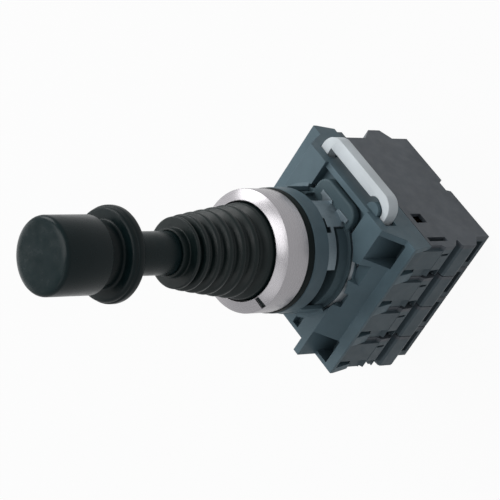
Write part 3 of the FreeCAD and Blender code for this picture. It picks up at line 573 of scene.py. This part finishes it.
# %% Lift ring
ring_r, ring_rear, ring_top = reach("lift_ring")
stem_r, stem_rear, stem_front = reach("stem_sleeve")
RUNNING_GAP = 0.3
SLIDE_FIT = 0.05
TIER_INSET = 0.35
REAR_TIER = 2.3
FLANGE_THICKNESS = 3.6
CUP_OVERLAP = 1.3
SPRING_ROOM = 0.2
ring_bore_r = stem_r + SLIDE_FIT
tier_step = ring_rear + REAR_TIER
flange_front = ring_rear + FLANGE_THICKNESS
sleeve_r = knob_inner_r - RUNNING_GAP
spring_r, _, _ = reach("lift_ring_spring")
spring_room_r = spring_r + SPRING_ROOM
cup_top = knob_rear + CUP_OVERLAP
ring_outline = [(ring_bore_r, ring_rear, 0.2), (ring_r, ring_rear, 1.0), (ring_r, tier_step, 0.4),
                (ring_r - TIER_INSET, tier_step + 0.1, 0.1), (ring_r - TIER_INSET, flange_front, 0.9),
                (sleeve_r, flange_front, 0.6), (sleeve_r, cup_top, 0.3), (spring_room_r, cup_top, 0.15),
                (spring_room_r, ring_top, 0.1), (ring_bore_r, ring_top, 0.2)]
add_piece("finger_ring", spun(ring_outline), "lift_ring", ring_plastic, ["lift_ring"])

# %% [markdown]
# ### Stem
#
# The stem is the smooth tube between the ring and the bellows. It has the rod inside it and is
# open at both ends, so its outline is a closed rectangle with small rounds.

# %% Stem
rod_r, _, _ = reach("stick_rod")
stem_bore_r = rod_r + SLIDE_FIT
stem_outline = [(stem_bore_r, stem_rear, 0.1), (stem_r, stem_rear, 0.4), (stem_r, stem_front, 0.2),
                (stem_bore_r, stem_front, 0.1)]
add_piece("stem_tube", spun(stem_outline), "stick", black_plastic, ["stem_sleeve"])

# %% [markdown]
# ### Bellows
#
# The rubber bellows keeps the pivot clean and follows the stick. It is a flat end disc with a
# short lip on the stem, a row of pleats that widens towards the panel, and a bead that the bezel
# clamps. Each pleat has a rounded crest and a deep round groove behind it, so the light falls on
# the crests and the grooves stay dark.
#
# The stick tilts about two axes, first X and then Y, so the bellows is made as two pieces that
# meet in a groove: the lower one on the housing's side and the upper one on the stick's side. Both
# are cut across the same groove.

# %% Pleats of the bellows
bead_r, _, bellows_front = reach("bellows")
LIP_HEIGHT = 1.6
FIRST_PLEAT_R = 8.5
LAST_PLEAT_R = 11.6
LAST_PLEAT_Z = 11.0
PLEATS = 7
PLEAT_SPREAD = 1.16
GROOVE_DEPTH = 1.65
CREST_HALF_HEIGHT = 0.55
CREST_ROUND = 0.45
GROOVE_HALF_HEIGHT = 0.45
GROOVE_ROUND = 0.35
RUBBER = 0.9
disc_z = bellows_front - LIP_HEIGHT - RUBBER


def pleat(number):
    """Radius and height of a crest, counted from the stem."""
    share = number / (PLEATS - 1)
    height = disc_z - (disc_z - LAST_PLEAT_Z) * share ** PLEAT_SPREAD
    return FIRST_PLEAT_R + share * (LAST_PLEAT_R - FIRST_PLEAT_R), height


def groove_after(number):
    """Radius and height of the bottom of the groove behind a crest."""
    crest_r, crest_z = pleat(number)
    next_r, next_z = pleat(number + 1)
    return (crest_r + next_r) / 2 - GROOVE_DEPTH, crest_z * 0.52 + next_z * 0.48


def crest_points(crest_r, crest_z):
    return [(crest_r, crest_z + CREST_HALF_HEIGHT, CREST_ROUND), (crest_r, crest_z - CREST_HALF_HEIGHT, CREST_ROUND)]


def pleat_points(first, last):
    """Outer side of the pleats from a groove or the disc down to the next cut."""
    points = []
    for number in range(first, last):
        crest_r, crest_z = pleat(number)
        groove_r, groove_z = groove_after(number)
        points += crest_points(crest_r, crest_z)
        points += [(groove_r, groove_z + GROOVE_HALF_HEIGHT, GROOVE_ROUND),
                   (groove_r, groove_z - GROOVE_HALF_HEIGHT, GROOVE_ROUND)]
    return points


CUT_AFTER = 4
cut_r, cut_z = groove_after(CUT_AFTER)
print("pleats, radius and z:", [tuple(round(v, 1) for v in pleat(n)) for n in range(PLEATS)])
print("cut at z", round(cut_z, 2))

# %% Upper and lower bellows
LIP_THICKNESS = 0.65
lip_r = stem_r + LIP_THICKNESS
disc_inner_r = FIRST_PLEAT_R - GROOVE_DEPTH - RUBBER
upper_outline = [(stem_r + SLIDE_FIT, bellows_front, 0.1), (lip_r, bellows_front, 0.25), (lip_r, disc_z + 0.35, 0.3)]
upper_outline += pleat_points(0, CUT_AFTER)
last_crest_r, last_crest_z = pleat(CUT_AFTER)
upper_outline += crest_points(last_crest_r, last_crest_z)
upper_outline += [(cut_r, cut_z + GROOVE_HALF_HEIGHT, GROOVE_ROUND), (cut_r, cut_z, 0), (cut_r - RUBBER, cut_z, 0),
                  (disc_inner_r, disc_z - 2.0, 0.5), (stem_r + SLIDE_FIT, disc_z - 1.4, 0.2)]
upper_bellows = add_piece("bellows_upper", spun(upper_outline), None, bellows_rubber, ["bellows"], 60)

bezel_r, bezel_rear, bezel_front = reach("bezel")
BEZEL_WALL = 0.8
BEAD = 0.8
bead_top = bezel_front - BEZEL_WALL
crest_r, crest_z = pleat(PLEATS - 1)
last_groove_r, last_groove_z = groove_after(PLEATS - 2)
lower_outline = [(cut_r - RUBBER, cut_z, 0), (cut_r, cut_z, 0), (cut_r, cut_z - GROOVE_HALF_HEIGHT, GROOVE_ROUND)]
lower_outline += pleat_points(CUT_AFTER + 1, PLEATS - 1)
lower_outline += [(crest_r, crest_z + 0.4, 0.4), (crest_r, bead_top, 0.2), (bead_r, bead_top, 0),
                  (bead_r, bead_top - BEAD, 0), (crest_r - RUBBER, bead_top - BEAD, 0),
                  (crest_r - RUBBER, crest_z - 0.6, 0.4), (last_groove_r - RUBBER, last_groove_z, 0.3)]
lower_bellows = add_piece("bellows_lower", spun(lower_outline), None, bellows_rubber, ["bellows"], 60)

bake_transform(lower_bellows)
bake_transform(upper_bellows)

# %% [markdown]
# ### Bezel and gasket
#
# The bezel is a drawn metal ring with a narrow index slot pressed into its front, towards the
# terminals. Its front is a flat cone that falls outwards, which makes it look wider on the side
# near the viewer. After the spin the slot is made from a few of the front's own faces: they are
# found by their angle and slant, extruded and moved down, and what they uncover is black. The
# gasket is the black ring under the bezel.

# %% Bezel
INDEX_ANGLE = -112.0
INDEX_FACES = 3
INDEX_DEPTH = 0.6
SLANT_FROM, SLANT_TO = 0.8, 0.95
BEZEL_OPENING_R = 12.1
BEZEL_STEPS = 180
RIM_DROP = 0.55
FRONT_RISE = 0.95
bezel_outline = [(bezel_r - BEZEL_WALL, bezel_rear, 0.1), (bezel_r, bezel_rear, 0.1),
                 (bezel_r, bezel_front - RIM_DROP, 0.14), (BEZEL_OPENING_R, bezel_front + FRONT_RISE, 0.25),
                 (BEZEL_OPENING_R, bead_top, 0.05), (bezel_r - BEZEL_WALL, bead_top, 0.3)]
bm = spun(bezel_outline, steps=BEZEL_STEPS)
step = 360 / BEZEL_STEPS
slot_faces = []
for face in bm.faces:
    middle = face.calc_center_median()
    angle = math.degrees(math.atan2(middle.y, middle.x))
    on_front = middle.z > (bezel_front - RIM_DROP) * MM and SLANT_FROM < face.normal.z < SLANT_TO
    if on_front and abs(angle - INDEX_ANGLE) < step * INDEX_FACES / 2:
        slot_faces.append(face)
pressed = bmesh.ops.extrude_face_region(bm, geom=slot_faces)
slot_verts = [item for item in pressed["geom"] if isinstance(item, bmesh.types.BMVert)]
bmesh.ops.translate(bm, verts=slot_verts, vec=(0, 0, -INDEX_DEPTH * MM))
bmesh.ops.delete(bm, geom=slot_faces, context="FACES")
for item in pressed["geom"]:
    if isinstance(item, bmesh.types.BMFace):
        item.material_index = 1
bmesh.ops.recalc_face_normals(bm, faces=bm.faces[:])
print("faces pressed into the index slot:", len(slot_faces))
bezel = add_piece("bezel_ring", bm, "housing", bezel_metal, ["bezel"], 30)
bezel.data.materials.append(bellows_rubber)

# %% Gasket
gasket_r, gasket_rear, gasket_front = reach("panel_gasket")
NECK_BORE_R = 11.25
gasket_outline = [(NECK_BORE_R, gasket_rear, 0.1), (gasket_r, gasket_rear, 0.35), (gasket_r, gasket_front, 0.35),
                  (NECK_BORE_R, gasket_front, 0.1)]
add_piece("gasket_ring", spun(gasket_outline), "housing", gasket_rubber, ["panel_gasket"])

# %% [markdown]
# ### Locking ring
#
# The white ring's handle is held between two fingers, so its mould rounds its long edges. The ring
# itself is flat and stays sharp. A copy of the solid is merged and its flat faces are made whole
# again, because a bevel needs clean edges, and then only the sharp edges of the handle are
# bevelled.

# %% Locking ring with a rounded handle
HANDLE_DEPTH = 4.6
HANDLE_ROUNDING = 0.55
_, lock_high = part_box("lock_ring")
bm = bmesh.new()
bm.from_mesh(frame["nodes"]["lock_ring"].data)
bmesh.ops.remove_doubles(bm, verts=bm.verts[:], dist=0.001 * MM)
bmesh.ops.dissolve_limit(bm, angle_limit=math.radians(1), verts=bm.verts[:], edges=bm.edges[:])
handle_edges = [edge for edge in bm.edges if len(edge.link_faces) == 2
                and min(vert.co.x for vert in edge.verts) > lock_high[0] - HANDLE_DEPTH * MM
                and edge.calc_face_angle() > math.radians(40)]
bmesh.ops.bevel(bm, geom=handle_edges, offset=HANDLE_ROUNDING * MM, offset_type="OFFSET", segments=3, profile=0.5,
                affect="EDGES", clamp_overlap=True, material=-1)
print("handle edges rounded:", len(handle_edges))
add_piece("locking_ring", bm, "lock_ring", white_plastic, ["lock_ring"], 40)

# %% [markdown]
# ### Coil springs
#
# A coil spring between two pieces gets shorter when one slides towards the other. Its solid keeps
# its length, and a copy takes its place. The copy has its doubles merged, so that the coil is one
# surface.

# %% Contact springs and the ring's spring
def closing_spring(node):
    bm = bmesh.new()
    bm.from_mesh(frame["nodes"][node].data)
    bmesh.ops.remove_doubles(bm, verts=bm.verts[:], dist=0.001 * MM)
    coil = add_piece(node.replace("spring", "coil"), bm, None, spring_steel, [node], 50)
    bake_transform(coil)


for number, pusher in enumerate(("pusher_minus_y", "pusher_minus_x", "pusher_plus_x", "pusher_plus_y"), 1):
    closing_spring("block_%d_spring" % number)
closing_spring("lift_ring_spring")
